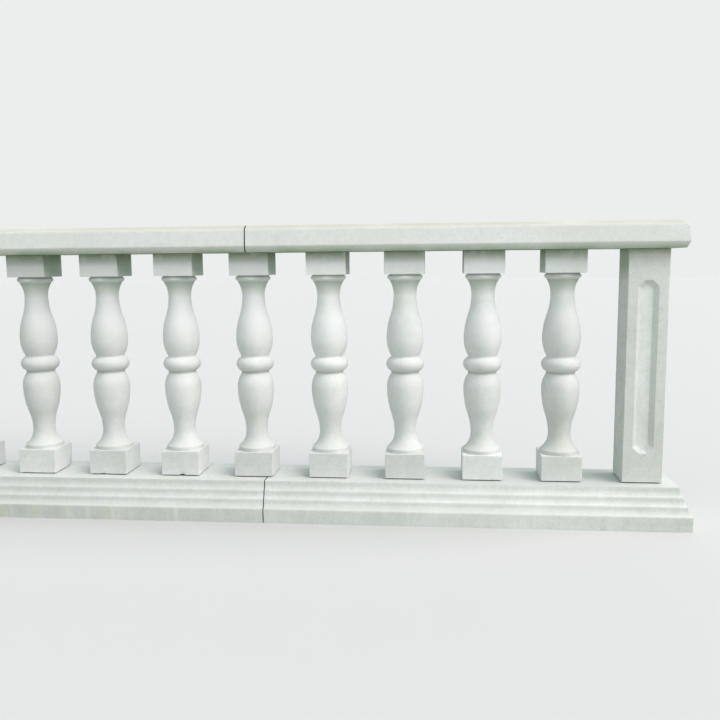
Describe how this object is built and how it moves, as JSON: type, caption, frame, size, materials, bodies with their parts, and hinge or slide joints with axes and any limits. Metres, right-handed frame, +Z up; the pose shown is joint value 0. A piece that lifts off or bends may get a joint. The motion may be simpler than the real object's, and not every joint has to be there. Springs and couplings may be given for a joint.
{
  "type": "stone balustrade",
  "caption": "Straight garden balustrade of pale stone: a moulded plinth, turned balusters with square end blocks, panelled end piers and a bevelled rail.",
  "frame": {"origin": "on the ground, under the middle of the plinth", "axes": "+X along the balustrade from its left end to its right end as seen from the front, +Y from front to back, +Z up"},
  "size_m": [4.091, 0.281, 0.969],
  "materials": {
    "rail_stone": "dressed, matt, lightly weathered",
    "plinth_stone": "dressed, matt, lightly weathered",
    "baluster_stone": "dressed, matt, lightly weathered"
  },
  "bodies": {
    "root": {"baluster_01": "baluster_stone", "baluster_02": "baluster_stone", "baluster_03": "baluster_stone", "baluster_04": "baluster_stone", "baluster_05": "baluster_stone", "baluster_06": "baluster_stone", "baluster_07": "baluster_stone", "baluster_08": "baluster_stone", "baluster_09": "baluster_stone", "baluster_10": "baluster_stone", "baluster_11": "baluster_stone", "baluster_12": "baluster_stone", "baluster_13": "baluster_stone", "baluster_14": "baluster_stone", "end_pier_left": "baluster_stone", "end_pier_right": "baluster_stone", "plinth_left": "plinth_stone", "plinth_middle": "plinth_stone", "plinth_right": "plinth_stone", "rail_left": "rail_stone", "rail_middle": "rail_stone", "rail_right": "rail_stone"}
  },
  "joints": []
}
